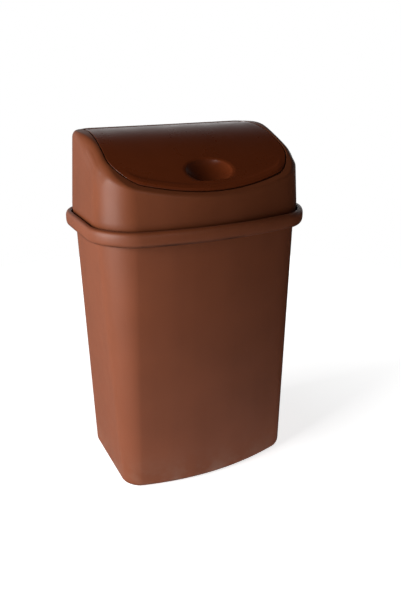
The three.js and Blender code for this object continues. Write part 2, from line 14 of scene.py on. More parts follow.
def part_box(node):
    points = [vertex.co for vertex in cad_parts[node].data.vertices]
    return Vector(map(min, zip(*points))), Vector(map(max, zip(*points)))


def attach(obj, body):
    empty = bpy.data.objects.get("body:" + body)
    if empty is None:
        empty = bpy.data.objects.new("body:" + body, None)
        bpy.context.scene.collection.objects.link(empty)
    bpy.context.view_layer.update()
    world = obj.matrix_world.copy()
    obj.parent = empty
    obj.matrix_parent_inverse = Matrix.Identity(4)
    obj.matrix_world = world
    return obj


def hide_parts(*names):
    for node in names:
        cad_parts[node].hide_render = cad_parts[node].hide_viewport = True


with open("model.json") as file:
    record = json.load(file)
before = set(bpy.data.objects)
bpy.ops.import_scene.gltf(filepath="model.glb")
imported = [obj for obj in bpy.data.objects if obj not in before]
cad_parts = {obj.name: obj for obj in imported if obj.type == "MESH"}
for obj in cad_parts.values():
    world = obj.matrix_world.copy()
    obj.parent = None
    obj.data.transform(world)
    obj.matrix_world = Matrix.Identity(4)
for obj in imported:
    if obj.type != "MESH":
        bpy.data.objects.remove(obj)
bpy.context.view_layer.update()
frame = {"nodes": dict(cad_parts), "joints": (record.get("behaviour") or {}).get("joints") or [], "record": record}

MM = 0.001

# ---- driving dimensions ----
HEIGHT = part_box("hood_shell")[1].z / MM
TUB_BASE = dict(w=188.5, d=110, r=31, bow=31)
TUB_TOP = dict(w=207, d=113, r=55, bow=37)
HOOD_FOOT = dict(w=212.5, d=118.5, r=60.5, bow=37)
WALL = 3
RIM_BOTTOM, LEDGE, RIM_TOP = 522, 530, 549
RIM_REACH, COLLAR = 18.5, 6.8
BEAD_REACH, BEAD_TALL, BEAD_BELOW, BEAD_ABOVE = 9.2, 0.8, 0.4, 0.6
BASE_FILLET, RECESS_Z, RING_FOOT = 15, 8, 1
FLOOR_INSET = 60
HOOD_TAPER, HOOD_WALL, SKIRT_DRAFT = 11, 2.8, 1.6
CREASE_Z, RIDGE_Y, SLOPE_POWER = 598, 56, 1.9
SIDE_FILLET, REAR_FILLET, FRONT_FILLET, TALL_FILLET = 20, 12, 4, 2.0
FLAP_REAR_W, FLAP_FRONT_W, FLAP_SETBACK, FLAP_CORNER = 173, 180, 12.6, 44
FLAP_THICK, REBATE, FLANGE, FLANGE_REACH, SEAM = 3, 5, 2.8, 10, 2.2
BARREL_R, TROUGH_R, ROLL_R = 7.5, 9.4, 8.5
FLAP_BEAD = dict(high=1.1, rise=(1.0, 3.5), fall=(8.5, 12.5))
SCOOP = dict(y=-105, w=46, l=29, depth=14, lip=0.9, lip_end=1.14, field=17)
LINER_BASE = dict(w=174, d=95, r=30, bow=26)
LINER_TOP = dict(w=189, d=100, r=50, bow=33)
LINER_WALL, LIP, LIP_WALL, LIP_DROP = 2.2, 8, 1.6, 9
BAIL = dict(z=494, wire=2.5, reach=78, bend=62, turn=4, end=9)
BAIL_X = LINER_TOP["w"] - LINER_WALL - BAIL["wire"] - 2.5
BAIL_HOLE_R, EYE_R = 3, 6.6
PEG = dict(y=28.5, half=4.5, z0=484.2, z1=491.2)
GRIP = dict(r=7.5, half=52, ribs=9, pitch=11)
BALLAST = dict(z0=17.3, z1=25.3, x=132, y=58, w=150, d=75, corner=18)
PAD = dict(x=138, y=60, r=18)
BOSS_X, PIN_R = 179, 3
BUFFER = dict(x=96, y=-128)
RIVET = dict(aside=13, shank=2.1, head=4.6, dome=1.5, tub_z=488, hood_z=584)
FRONT_Y = -(HOOD_FOOT["d"] + HOOD_FOOT["bow"])
CENTRE_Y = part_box("tub_shell")[1].y / MM - TUB_TOP["d"] - RIM_REACH
JOINTS = {j["name"]: Vector(j["pos_m"]) / MM - Vector((0, CENTRE_Y, 0)) for j in frame["joints"]}
PIVOT_Y, PIVOT_Z = JOINTS["flap_hinge"].y, JOINTS["flap_hinge"].z
FLAP_BOW = HOOD_FOOT["bow"] - 2
FLAP_PLAN = dict(w=FLAP_REAR_W, wf=FLAP_FRONT_W, yr=PIVOT_Y, rr=2, r=FLAP_CORNER, bow=FLAP_BOW,
                 yf=FRONT_Y + FLAP_SETBACK + FLAP_BOW)
HINGE = dict(x=112, y=JOINTS["hood_hinge"].y, z=JOINTS["hood_hinge"].z, leaf=2, half=22, tab=9.5, curl=4.4,
             gap=0.3, corner=5, bend=4, rod=2.5, rod_head=3.9)
TUB_LEAF_Z, HOOD_LEAF_Z, TAB_Z = (470, 504, 517), (602, 566, 555.5), 557

# ---- looks (lengths inside a material, the lights' aim and the floor are in metres) ----
# The tub, hood and flap are one brown plastic; the tub's lighter copy and the flap's darker, redder copy were
# fitted to how the light falls on each part, so part of their difference is painted light and shade.
TUB_BROWN, HOOD_BROWN = (0.166, 0.044, 0.0163), (0.15, 0.040, 0.0145)
FLAP_BROWN = (0.133, 0.0262, 0.0070)
DUST = (0.24, 0.19, 0.15)
# The first and last of these size the painted shade in creases and the painted shadow line under the rim; DUST_TOP
# is how high dust reaches.
CREVICE_SHADE_REACH, DUST_TOP, RIM_SHADOW_HALF = 0.022, 0.11, 0.0045
GRAIN_DEPTH, RIPPLE_DEPTH, SCUFF_DEPTH = 0.00006, 0.0006, 0.00003
CAMERA = dict(azimuth=25.0, distance=1238.4, height=835.9, aside=1.4, pitch=21.55, lens=37.62)
LIGHT_AIM = (0, 0, 0.38)
ROOM, BAND, LEFT_SHEEN = 0.004, 0.72, 0.45
BAND_SIDE, BAND_LOW = (-0.45, 0.89, 0), 0.04
FLOOR = dict(radius=1.5, rings=8, sides=64, near=0.3, far=0.7, edge=1.1)
FLOOR_GLOW, FAR_GLOW, SEEN_GLOW = 1.16, 0.28, 0.75

# ---- ring and mesh helpers ----
CORNER_STEPS, REAR_STEPS, SIDE_STEPS, BOW_STEPS = 16, 15, 11, 37
CIRCLE = 0.5523  # how far a cubic curve's handles reach to follow a quarter circle
SAME_PLACE = 1e-6
ALONG_X = Matrix.Rotation(math.pi / 2, 3, "Y")


def smooth(x, low, high):
    t = np.clip((x - low) / (high - low), 0, 1)
    return t * t * (3 - 2 * t)


def mixed(a, b, t):
    return {k: a[k] + (b[k] - a[k]) * t for k in a}


def grown(plan, by):
    """The plan moved outwards all round by that much."""
    out = dict(plan)
    for k in ("w", "d", "wf", "yr"):
        if k in out:
            out[k] += by
    if "yf" in out:
        out["yf"] -= by
    out["r"] = max(plan["r"] + by, 2.0)
    if "rr" in out:
        out["rr"] = max(plan["rr"] + by, 1.0)
    return out


def outline(plan):
    """Points anticlockwise from above: a rounded rectangle whose front side is bowed."""
    wr, r, bow = plan["w"], plan["r"], plan["bow"]
    wf, rr = plan.get("wf", wr), plan.get("rr", r)
    yr, yf = plan.get("yr", plan.get("d")), plan.get("yf", -plan.get("d", 0))

    def corner(cx, cy, radius, start):
        a = np.radians(start + 90 * np.arange(CORNER_STEPS + 1) / CORNER_STEPS)
        return np.column_stack([cx + radius * np.cos(a), cy + radius * np.sin(a)])

    def between(p, q, steps):
        t = (np.arange(1, steps) / steps)[:, None]
        return np.array(p) * (1 - t) + np.array(q) * t

    parts = [
        corner(wr - rr, yr - rr, rr, 0),
        between((wr - rr, yr), (rr - wr, yr), REAR_STEPS),
        corner(rr - wr, yr - rr, rr, 90),
        between((-wr, yr - rr), (-wf, yf + r), SIDE_STEPS),
        corner(r - wf, yf + r, r, 180),
        between((r - wf, yf), (wf - r, yf), BOW_STEPS),
        corner(wf - r, yf + r, r, 270),
        between((wf, yf + r), (wr, yr - rr), SIDE_STEPS),
    ]
    p = np.vstack(parts)
    near = np.clip((yf + r - p[:, 1]) / r, 0, 1)
    p[:, 1] -= bow * (1 - (p[:, 0] / wf) ** 2) * near
    return p


def at_height(points, z):
    return np.column_stack([points, np.broadcast_to(z, len(points))])


def outward(points):
    """Outward directions of a ring seen from above."""
    along = np.roll(points[:, :2], -1, 0) - np.roll(points[:, :2], 1, 0)
    out = np.column_stack([along[:, 1], -along[:, 0]])
    return out / np.maximum(np.linalg.norm(out, axis=1), 1e-9)[:, None]


def rounded(keys, closed=False):
    """Rows between key rings. Each key is (ring, radius, steps): a radius rounds the profile there.

    A pair of radii says how far the rounding reaches towards the row before and the row after.
    """
    rows = []
    for i, (ring, radius, steps) in enumerate(keys):
        if np.all(np.asarray(radius) == 0) or (not closed and i in (0, len(keys) - 1)):
            rows.append(ring)
            continue
        pair, most = (radius, 0.95) if isinstance(radius, tuple) else ((radius, radius), 0.49)
        before, after = keys[i - 1][0] - ring, keys[(i + 1) % len(keys)][0] - ring
        la = np.maximum(np.linalg.norm(before, axis=1), 1e-9)[:, None]
        lb = np.maximum(np.linalg.norm(after, axis=1), 1e-9)[:, None]
        ra, rb = (np.broadcast_to(np.asarray(r, float).reshape(-1, 1), la.shape) for r in pair)
        p0 = ring + before / la * np.minimum(ra, most * la)
        p3 = ring + after / lb * np.minimum(rb, most * lb)
        p1 = p0 + (ring - p0) * CIRCLE
        p2 = p3 + (ring - p3) * CIRCLE
        for t in np.linspace(0, 1, steps + 1):
            s = 1 - t
            rows.append(s**3 * p0 + 3 * s * s * t * p1 + 3 * s * t * t * p2 + t**3 * p3)
    return rows


def make(name, points, faces):
    """A mesh object from points in millimetres in the bin's axes."""
    mesh = bpy.data.meshes.new(name)
    p = np.asarray(points, float) * MM + np.array([0, CENTRE_Y * MM, 0])
    mesh.from_pydata(p.tolist(), [], faces)
    mesh.validate()
    mesh.polygons.foreach_set("use_smooth", [True] * len(mesh.polygons))
    obj = bpy.data.objects.new(name, mesh)
    bpy.context.scene.collection.objects.link(obj)
    return obj


def weighted(obj):
    """Shades large flat faces flat and lets the small rounding between them take up the turn."""
    mod = obj.modifiers.new("weighted", "WEIGHTED_NORMAL")
    mod.keep_sharp = True
    return obj


def skin(name, rows, closed=False):
    """Faces between rows of rings; open ends are closed with a fan to their middle."""
    n, count = len(rows[0]), len(rows)
    points = list(np.vstack(rows))
    faces = []
    spans = count if closed else count - 1
    for k in range(spans):
        a, b = k * n, ((k + 1) % count) * n
        for i in range(n):
            j = (i + 1) % n
            faces.append((a + i, a + j, b + j, b + i))
    if not closed:
        points += [rows[0].mean(0), rows[-1].mean(0)]
        low, high = len(points) - 2, len(points) - 1
        last = (count - 1) * n
        for i in range(n):
            j = (i + 1) % n
            faces.append((low, j, i))
            faces.append((high, last + i, last + j))
    return weighted(make(name, points, faces))


def lathe(name, profile, place=(0, 0, 0), turn=None, segments=48, closed=False):
    """A turned piece: (radius, height) pairs about its own +Z, or a closed section with a bore."""
    turn = turn or Matrix.Identity(3)
    points, faces = [], []
    for k in range(segments):
        a = 2 * math.pi * k / segments
        for r, z in profile:
            q = turn @ Vector((r * math.cos(a), r * math.sin(a), z)) + Vector(place)
            points.append(q)
    m = len(profile)
    for k in range(segments):
        a, b = k * m, ((k + 1) % segments) * m
        for i in range(m if closed else m - 1):
            j = (i + 1) % m
            faces.append((a + i, b + i, b + j, a + j))
    obj = make(name, points, faces)
    merge(obj)
    return weighted(obj)


def merge(obj):
    """Joins points that coincide, such as a turned piece's points on its axis."""
    bm = bmesh.new()
    bm.from_mesh(obj.data)
    bmesh.ops.remove_doubles(bm, verts=bm.verts, dist=SAME_PLACE)
    bmesh.ops.recalc_face_normals(bm, faces=bm.faces)
    bm.to_mesh(obj.data)
    bm.free()


def soft_profile(points, closed=False):
    """(radius, height) corners with a third value, the rounding, as a smooth profile."""
    rings = [(np.array([[p[0], 0.0, p[1]]]), p[2] if len(p) > 2 else 0, 4) for p in points]
    return [(float(r[0, 0]), float(r[0, 2])) for r in rounded(rings, closed)]


def toward(*direction):
    """A turn that takes +Z to that direction."""
    return Vector(direction).to_track_quat("Z", "Y").to_matrix()


# ---- materials ----
def rgb(*c):
    return (*c, 1)


def grey(value):
    return rgb(value, value, value)


class Nodes:
    """Short calls for the node tree of a material or of the world."""

    def __init__(self, owner, shader="Principled BSDF", coords="Object"):
        self.owner = owner
        owner.use_nodes = True
        self.tree = owner.node_tree
        self.shader = self.tree.nodes[shader]
        self.coords = self.tree.nodes.new("ShaderNodeTexCoord").outputs[coords]

    def new(self, kind, **inputs):
        node = self.tree.nodes.new(kind)
        for key, value in inputs.items():
            self.put(node, key.replace("_", " "), value)
        return node

    def put(self, node, key, value):
        socket = node.inputs[int(key)] if key.isdigit() else node.inputs[key]
        if isinstance(value, bpy.types.NodeSocket):
            self.tree.links.new(value, socket)
        else:
            socket.default_value = value

    def stretched(self, scale, rotation=(0, 0, 0)):
        node = self.new("ShaderNodeMapping", Vector=self.coords)
        node.inputs["Scale"].default_value = scale
        node.inputs["Rotation"].default_value = rotation
        return node.outputs[0]

    def noise(self, scale, detail=3.0, rough=0.5, vector=None):
        node = self.new("ShaderNodeTexNoise", Vector=vector or self.coords, Scale=scale, Detail=detail)
        node.inputs["Roughness"].default_value = rough
        return node.outputs["Fac"]

    def ramp(self, value, low, high, to=(0.0, 1.0)):
        node = self.new("ShaderNodeMapRange", Value=value)
        for key, v in zip(("From Min", "From Max", "To Min", "To Max"), (low, high, *to)):
            node.inputs[key].default_value = v
        return node.outputs[0]

    def maths(self, kind, operation, *values):
        node = self.tree.nodes.new(kind)
        node.operation = operation
        for i, value in enumerate(values):
            self.put(node, str(i), value)
        return node.outputs["Value"]

    def times(self, a, b):
        return self.maths("ShaderNodeMath", "MULTIPLY", a, b)

    def near(self, value, middle, half):
        """1 at the middle value, falling to 0 at half away from it."""
        away = self.maths("ShaderNodeMath", "SUBTRACT", value, middle)
        return self.ramp(self.maths("ShaderNodeMath", "ABSOLUTE", away), 0, half, (1, 0))

    def gradient(self, value, *stops):
        """A grey at each stop (position, grey), blended in between."""
        node = self.new("ShaderNodeValToRGB", Fac=value)
        marks = node.color_ramp.elements
        for mark, (place, tone) in zip(marks, (stops[0], stops[-1])):
            mark.position = place
            mark.color = grey(tone)
        for place, tone in stops[1:-1]:
            marks.new(place).color = grey(tone)
        return node.outputs["Color"]

    def camera_ray(self):
        return self.tree.nodes.new("ShaderNodeLightPath").outputs["Is Camera Ray"]

    def mix(self, factor, a, b, blend="MIX"):
        node = self.tree.nodes.new("ShaderNodeMix")
        node.data_type = "RGBA"
        node.blend_type = blend
        self.put(node, "0", factor)
        self.put(node, "6", a)
        self.put(node, "7", b)
        return node.outputs[2]

    def bump(self, height, distance, strength=1.0, normal=None):
        node = self.new("ShaderNodeBump", Height=height, Distance=distance, Strength=strength)
        if normal:
            self.put(node, "Normal", normal)
        return node.outputs[0]

    def z(self):
        return self.new("ShaderNodeSeparateXYZ", Vector=self.coords).outputs["Z"]

    def set(self, **inputs):
        for key, value in inputs.items():
            self.put(self.shader, key.replace("_", " "), value)
        return self.owner


def moulded(name, colour, roughness, soil=0.3, specular=0.28, painted_rim_shadow=False):
    """Injection-moulded plastic: fine grain, faint flow lines, rubbed edges, scuffs and dust low down, with
    painted shade darkening its creases, seams and foot, and on request a painted shadow line under the rim.
    """
    n = Nodes(bpy.data.materials.new(name))
    base = Vector(colour)
    cloudy = n.noise(9, 4)
    flow = n.noise(1, 3, vector=n.stretched((34, 34, 2.2)))
    tone = n.mix(n.ramp(cloudy, 0.3, 0.7), rgb(*(base * 0.93)), rgb(*(base * 1.07)))
    tone = n.mix(n.ramp(flow, 0.35, 0.75, (0, 0.35)), tone, rgb(*(base * 1.16)))
    edge = n.ramp(n.new("ShaderNodeNewGeometry").outputs["Pointiness"], 0.515, 0.56, (0, 0.3))
    rub = n.times(edge, n.ramp(n.noise(60, 4), 0.4, 0.62))
    tone = n.mix(rub, tone, rgb(*(base * 1.5 + Vector((0.03, 0.03, 0.03)))))

    scuff = n.noise(1, 2, 0.6, n.stretched((260, 260, 14), (0.5, 0.35, 0.2)))
    scuffs = n.times(n.ramp(scuff, 0.69, 0.76), n.ramp(n.noise(7, 2), 0.52, 0.66))
    tone = n.mix(n.times(scuffs, 0.35), tone, rgb(*(base * 1.35 + Vector((0.04, 0.035, 0.03)))))

    low = n.ramp(n.z(), DUST_TOP, 0.0)
    dust = n.times(n.times(low, low), n.ramp(n.noise(26, 6, 0.6), 0.42, 0.72))
    tone = n.mix(n.times(dust, soil), tone, rgb(*DUST))

    # Painted shade: where ambient occlusion finds the surface hemmed in (creases, seams, under the rim, the scoop,
    # the foot on the floor), the colour is darkened in patches.
    open_share = n.new("ShaderNodeAmbientOcclusion", Distance=CREVICE_SHADE_REACH).outputs["AO"]
    crevice_shade = n.times(n.ramp(open_share, 0.66, 0.25), n.ramp(n.noise(30, 4), 0.25, 0.6, (0.45, 0.8)))
    tone = n.mix(crevice_shade, tone, rgb(*(base * 0.3)))
    # Painted shadow: a dark, patchy line painted along the rim's lower edge, standing in for the shadow the rim
    # casts on the wall.
    if painted_rim_shadow:
        patchy = n.ramp(n.noise(14, 3), 0.35, 0.65, (0.2, 0.9))
        line = n.times(n.near(n.z(), (RIM_BOTTOM + 2) * MM, RIM_SHADOW_HALF), patchy)
        tone = n.mix(line, tone, rgb(*(base * 0.2)))

    rough = n.ramp(n.noise(17, 5, 0.55), 0.3, 0.7, (roughness - 0.035, roughness + 0.045))
    ripple, grains = n.noise(14, 1), n.noise(1100, 2)
    normal = n.bump(ripple, RIPPLE_DEPTH, 0.35)
    normal = n.bump(grains, GRAIN_DEPTH, 0.7, normal)
    normal = n.bump(scuffs, -SCUFF_DEPTH, 0.6, normal)
    return n.set(Base_Color=tone, Roughness=rough, Normal=normal, Specular_IOR_Level=specular)


def metal(name, colour, roughness, brushed=(4, 500, 500), stain=0.25):
    """Brushed or plated steel with faint handling marks."""
    n = Nodes(bpy.data.materials.new(name))
    base = Vector(colour)
    lines = n.noise(1, 3, vector=n.stretched(brushed))
    blotch = n.noise(70, 5, 0.6)
    tone = n.mix(n.ramp(blotch, 0.35, 0.75, (0, stain)), rgb(*base), rgb(*(base * 0.55)))
    tone = n.mix(n.ramp(lines, 0.3, 0.7, (0, 0.2)), tone, rgb(*(base * 1.2)))
    rough = n.ramp(blotch, 0.3, 0.75, (roughness, roughness + 0.16))
    normal = n.bump(lines, 0.00003, 0.5)
    return n.set(Base_Color=tone, Roughness=rough, Normal=normal, Metallic=1.0)


def rubbery(name, colour, roughness):
    """Moulded rubber with pale bloom in patches."""
    n = Nodes(bpy.data.materials.new(name))
    base = Vector(colour)
    tone = n.mix(n.ramp(n.noise(90, 5, 0.6), 0.4, 0.75, (0, 0.5)), rgb(*base), rgb(*(base * 2.2)))
    rough = n.ramp(n.noise(40, 3), 0.3, 0.7, (roughness - 0.08, roughness + 0.08))
    return n.set(Base_Color=tone, Roughness=rough, Normal=n.bump(n.noise(900, 2), 0.00008, 0.8))


MATERIALS = {
    "bin_plastic": moulded("tub_plastic", TUB_BROWN, 0.46, painted_rim_shadow=True),
    "hood_plastic": moulded("hood_plastic", HOOD_BROWN, 0.42, soil=0, specular=0.2),
    "flap_plastic": moulded("flap_plastic", FLAP_BROWN, 0.29, soil=0),
    "liner_plastic": moulded("liner_plastic", (0.045, 0.048, 0.05), 0.5),
    "grip_plastic": moulded("grip_plastic", (0.02, 0.02, 0.021), 0.5, soil=0),
    "nylon": moulded("nylon", (0.62, 0.6, 0.5), 0.45, soil=0),
    "stainless": metal("stainless", (0.6, 0.59, 0.57), 0.28),
    "zinc_plate": metal("zinc_plate", (0.5, 0.51, 0.5), 0.38, (60, 60, 60), 0.5),
    "black_rubber": rubbery("rubber", (0.018, 0.018, 0.019), 0.75),
}
SLOT_OF = {part["node"]: part["material_slot"] for part in frame["record"]["subparts"]}
BODY_OF = {node: body for body, nodes in frame["record"]["behaviour"]["bodies"].items() for node in nodes}


def piece(obj, node, replaces=True):
    """Gives a piece the material, body and finish slot of a CAD node, which it may stand for."""
    obj.data.materials.clear()
    obj.data.materials.append(MATERIALS[SLOT_OF[node]])
    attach(obj, BODY_OF[node])
    if replaces:
        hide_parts(node)
    return obj


# ---- camera and light ----
def add_camera():
    """Stands in front of the bin, azimuth degrees round to its left, and looks down by the pitch."""
    data = bpy.data.cameras.new("camera")
    data.sensor_width = 36
    data.lens = CAMERA["lens"]
    data.clip_end = 50
    cam = bpy.data.objects.new("camera", data)
    bpy.context.scene.collection.objects.link(cam)
    az, away = math.radians(CAMERA["azimuth"]), CAMERA["distance"]
    yaw, pitch = math.radians(CAMERA["azimuth"] + CAMERA["aside"]), math.radians(CAMERA["pitch"])
    cam.location = Vector((-away * math.sin(az), CENTRE_Y - away * math.cos(az), CAMERA["height"])) * MM
    ahead = Vector((math.sin(yaw) * math.cos(pitch), math.cos(yaw) * math.cos(pitch), -math.sin(pitch)))
    cam.rotation_euler = ahead.to_track_quat("-Z", "Y").to_euler()
    bpy.context.scene.camera = cam


def area_light(name, azimuth, elevation, distance, size, power):
    """A soft box seen from the bin at that azimuth (0 is the front, -90 the left) and elevation, degrees."""
    data = bpy.data.lights.new(name, "AREA")
    data.shape = "RECTANGLE"
    data.size, data.size_y = size
    data.energy = power
    light = bpy.data.objects.new(name, data)
    light.visible_camera = False
    a, e = math.radians(azimuth), math.radians(elevation)
    away = Vector((math.sin(a) * math.cos(e), -math.cos(a) * math.cos(e), math.sin(e)))
    light.location = Vector(LIGHT_AIM) + away * distance
    light.rotation_euler = (-away).to_track_quat("-Z", "Y").to_euler()
    bpy.context.scene.collection.objects.link(light)


def add_world():
    """White to the camera. What lights the bin is a dim room with two pale parts.

    One is a low band, brightest behind the bin. The other is below the horizon on the left, where it stands
    in for the floor, which reflections don't show.
    """
    world = bpy.data.worlds.new("studio")
    bpy.context.scene.world = world
    n = Nodes(world, "Background", "Generated")
    along = n.new("ShaderNodeSeparateXYZ", Vector=n.coords)
    height = n.ramp(along.outputs["Z"], -1, 1)  # 0 straight down, 0.5 level, 1 straight up
    facing = n.maths("ShaderNodeVectorMath", "DOT_PRODUCT", n.coords, BAND_SIDE)
    behind = n.ramp(facing, -0.5, 0.6, (BAND_LOW, 1))
    band = n.gradient(height, (0.47, ROOM), (0.5, BAND), (0.61, BAND), (0.82, ROOM))
    leftward = n.ramp(along.outputs["X"], -0.1, -0.35)
    sheen = n.gradient(height, (0.1, 0), (0.22, LEFT_SHEEN), (0.48, LEFT_SHEEN), (0.52, 0))
    light = n.mix(1.0, n.mix(behind, grey(ROOM), band), n.mix(leftward, grey(0), sheen), "ADD")
    n.set(Color=n.mix(n.camera_ray(), light, grey(1)))


def add_floor():
    """A pale disc that gives off a faint light near the bin and looks almost white to the camera."""
    rings, sides = FLOOR["rings"], FLOOR["sides"]
    points, faces = [(0, 0, 0)], []
    for k in range(rings):
        for i in range(sides):
            a = 2 * math.pi * i / sides
            r = FLOOR["radius"] * (k + 1) / rings
            points.append((r * math.cos(a), r * math.sin(a), 0))
    for i in range(sides):
        j = (i + 1) % sides
        faces.append((0, 1 + i, 1 + j))
        for k in range(rings - 1):
            low, high = 1 + k * sides, 1 + (k + 1) * sides
            faces.append((low + i, high + i, high + j, low + j))
    mesh = bpy.data.meshes.new("floor")
    mesh.from_pydata(points, [], faces)
    floor = bpy.data.objects.new("floor", mesh)
    bpy.context.scene.collection.objects.link(floor)
    n = Nodes(bpy.data.materials.new("floor"))
    tone = n.mix(n.ramp(n.noise(3, 2), 0.3, 0.7), grey(0.78), grey(0.82))
    away = n.maths("ShaderNodeVectorMath", "LENGTH", n.coords)
    glow = n.ramp(away, FLOOR["near"], FLOOR["far"], (FLOOR_GLOW, FAR_GLOW))
    pale = n.ramp(away, FLOOR["near"], FLOOR["edge"], (SEEN_GLOW, 1.0))
    seen = n.tree.nodes.new("ShaderNodeMix")
    for key, value in zip(("0", "2", "3"), (n.camera_ray(), glow, pale)):
        n.put(seen, key, value)
    n.set(Base_Color=tone, Roughness=0.7, Emission_Color=grey(1), Emission_Strength=seen.outputs[0])
    mesh.materials.append(n.owner)
    floor.visible_glossy = False


add_camera()
bpy.context.scene.view_settings.view_transform = "Standard"
add_world()
add_floor()
area_light("key_left", -82, 13, 2.3, (1.2, 1.5), 77)
area_light("back_fill", 140, 4, 2.6, (1.6, 0.8), 5)
area_light("small_front", -4, 21, 2.5, (0.25, 0.25), 4)

# ---- tub ----
def tub_ring(offset, z):
    plan = mixed(TUB_BASE, TUB_TOP, min(max(z / RIM_BOTTOM, 0), 1))
    return at_height(outline(grown(plan, offset)), z)


def rim_bead():
    """The rolled rim's outer face from its underside up to its top, a squarish half round."""
    half, inner = (RIM_TOP - RIM_BOTTOM) / 2, RIM_REACH - BEAD_REACH
    rows = []
    for a in np.radians(np.linspace(-70, 90, 22)):
        out = BEAD_REACH * math.cos(a) ** (BEAD_BELOW if a < 0 else BEAD_ABOVE)
        high = half * math.copysign(abs(math.sin(a)) ** BEAD_TALL, a)
        rows.append((tub_ring(inner + out, RIM_BOTTOM + half + high), 0, 1))
    return rows


def add_tub():
    """One closed skin: recessed base, outer wall, rolled rim hollow underneath, ledge, inner wall, floor."""
    under, rim_middle = COLLAR + WALL, (RIM_BOTTOM + RIM_TOP) / 2
    keys = [
        (tub_ring(-FLOOR_INSET, RECESS_Z), 0, 1),
        (tub_ring(-26.5, RECESS_Z), 1.0, 2),
        (tub_ring(-25, RING_FOOT), 1.2, 3),
        (tub_ring(0, RING_FOOT), BASE_FILLET, 10),
        (tub_ring(0, 180), 0, 1),
        (tub_ring(0, 350), 0, 1),
        (tub_ring(0, RIM_BOTTOM - 2), 2.5, 4),
        (tub_ring(under, RIM_BOTTOM + 4), 1.5, 2),
        (tub_ring(under, RIM_TOP - 3.5), 2.5, 3),
        (tub_ring(RIM_REACH - 3.2, RIM_TOP - 4.5), 2.5, 3),
        (tub_ring(RIM_REACH - 2.9, rim_middle), 3.0, 3),
        (tub_ring(RIM_REACH - 7.0, RIM_BOTTOM + 2.0), 0.6, 3),
        *rim_bead(),
        (tub_ring(COLLAR, RIM_TOP), (2.3, 4.5), 5),
        (tub_ring(COLLAR, LEDGE), 0.8, 2),
        (tub_ring(-WALL, LEDGE), 2.0, 4),
        (tub_ring(-WALL, 300), 0, 1),
        (tub_ring(-WALL, RECESS_Z + WALL), 13, 6),
        (tub_ring(-FLOOR_INSET, RECESS_Z + WALL), 0, 1),
    ]
    return piece(skin("tub", rounded(keys)), "tub_shell")


# ---- hood ----
def top_z(y):
    t = np.clip((RIDGE_Y - y) / (RIDGE_Y - FRONT_Y), 0, 1.2)
    return HEIGHT - (HEIGHT - CREASE_Z) * t**SLOPE_POWER


def steepness(y):
    """How much the top rises at y per millimetre towards the back."""
    return top_z(y + 0.5) - top_z(y - 0.5)


def lean(y):
    """How much longer the top's slope is than its run at y."""
    return np.hypot(1, steepness(y))


HOOD_LOW = outline(HOOD_FOOT)
HOOD_HIGH = outline(grown(HOOD_FOOT, -HOOD_TAPER))


def hood_ring(inset, z):
    """The hood's wall at height z, which may differ from point to point, moved inwards by inset."""
    t = (np.broadcast_to(z, len(HOOD_LOW)) - RIM_TOP) / (HEIGHT - RIM_TOP)
    p = HOOD_LOW + (HOOD_HIGH - HOOD_LOW) * t[:, None]
    return at_height(p - outward(HOOD_LOW) * inset, z)


def eave(inset):
    """Where the wall would meet the top."""
    z = np.full(len(HOOD_LOW), float(HEIGHT))
    for _ in range(6):
        y = hood_ring(inset, z)[:, 1]
        z = top_z(y) - inset * lean(y)
    return hood_ring(inset, z)


